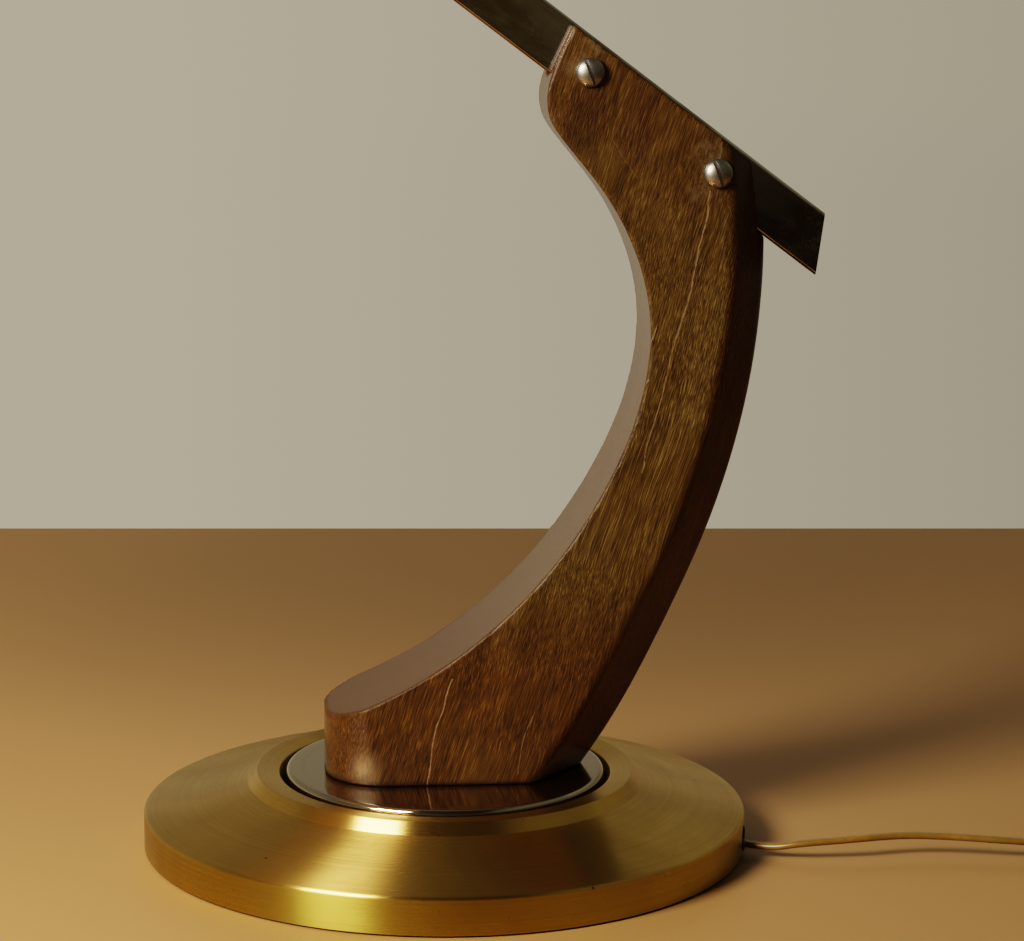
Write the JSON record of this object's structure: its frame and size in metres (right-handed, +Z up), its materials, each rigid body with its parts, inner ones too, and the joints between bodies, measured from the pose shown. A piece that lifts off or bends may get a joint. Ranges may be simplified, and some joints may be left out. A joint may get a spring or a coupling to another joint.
{
  "type": "desk lamp",
  "caption": "Desk lamp with a turning weighted metal base, a curved wooden stem, a slanted metal arm and a tilting dome shade.",
  "frame": {"origin": "middle of the base's underside, on the surface that the lamp stands on and on the axis that it turns about", "axes": "+Z up; -X from the stem towards the shade at rest; +X towards the stem's rounded back and the mains flex; +Y away from the side that faces the picture's camera"},
  "size_m": [0.6512, 0.3017, 0.485],
  "materials": {
    "satin_brass": "satin, turned, lightly tarnished",
    "brass_lacquer": "satin, brass-coloured lacquer",
    "chrome": "polished",
    "dark_wood": "satin, open pored",
    "polished_steel": "polished, slightly clouded",
    "nickel": "nickel plated, tarnished",
    "plain_steel": "plain zinc plated",
    "cast_iron": "rough, painted black",
    "felt": "matt",
    "grey_fibre": "matt",
    "black_rubber": "matt",
    "clear_flex": "glossy, amber",
    "white_lead": "satin",
    "black_plastic": "satin",
    "brown_plastic": "glossy",
    "white_ceramic": "matt",
    "opal_glass": "opal, satin",
    "bulb_glass": "frosted"
  },
  "bodies": {
    "base": {"base_cover": "satin_brass", "felt_pad": "felt", "base_plate": "plain_steel", "rim_lugs": "plain_steel", "base_screws": "plain_steel", "ballast": "cast_iron", "base_stop_pin": "plain_steel", "pivot_bush": "satin_brass", "thrust_washer": "grey_fibre", "flex_grommet": "black_rubber", "base_lead": "white_lead", "flex_clamp": "black_plastic", "flex": "clear_flex", "flex_coil": "clear_flex", "flex_tail": "clear_flex", "plug_body": "brown_plastic", "plug_pins": "nickel"},
    "stem": {"turntable_disc": "chrome", "disc_stop_pin": "plain_steel", "pivot_tube": "plain_steel", "pivot_nut": "plain_steel", "spring_washer": "plain_steel", "stem_screws": "plain_steel", "stem": "dark_wood", "arm": "polished_steel", "arm_end_plug": "polished_steel", "arm_screws": "nickel", "sleeve_nuts": "nickel", "stem_lead": "white_lead", "arm_fork": "satin_brass", "tilt_bolt": "satin_brass", "tilt_cap_nut": "satin_brass"},
    "head": {"tilt_tongue": "satin_brass", "friction_washers": "grey_fibre", "neck_tube": "satin_brass", "neck_collar": "satin_brass", "shade": "brass_lacquer", "shade_cap": "satin_brass", "shade_nut": "plain_steel", "socket_bridge": "plain_steel", "bridge_nuts": "plain_steel", "lampholders": "black_plastic", "lamp_caps": "nickel", "lamp_glass": "bulb_glass", "terminal_block": "white_ceramic", "head_lead": "white_lead", "diffuser_ring": "satin_brass", "diffuser": "opal_glass", "ring_screws": "satin_brass", "switch_body": "black_plastic", "switch_ring_nut": "satin_brass"},
    "button": {"switch_button": "black_plastic"}
  },
  "joints": [
    {"name": "base_swivel", "type": "hinge", "parent": "base", "child": "stem", "pos_m": [0, 0, 0.025], "axis": [0, 0, 1], "range_deg": [-170, 170]},
    {"name": "head_tilt", "type": "hinge", "parent": "stem", "child": "head", "pos_m": [-0.20007, 0, 0.47543], "axis": [0, 1, 0], "range_deg": [0, 45]},
    {"name": "button_press", "type": "slide", "parent": "head", "child": "button", "axis": [0.5355, 0, -0.8445], "range_m": [0, 0.0025], "stiffness_N_per_m": 300, "springref_m": -0.002}
  ]
}
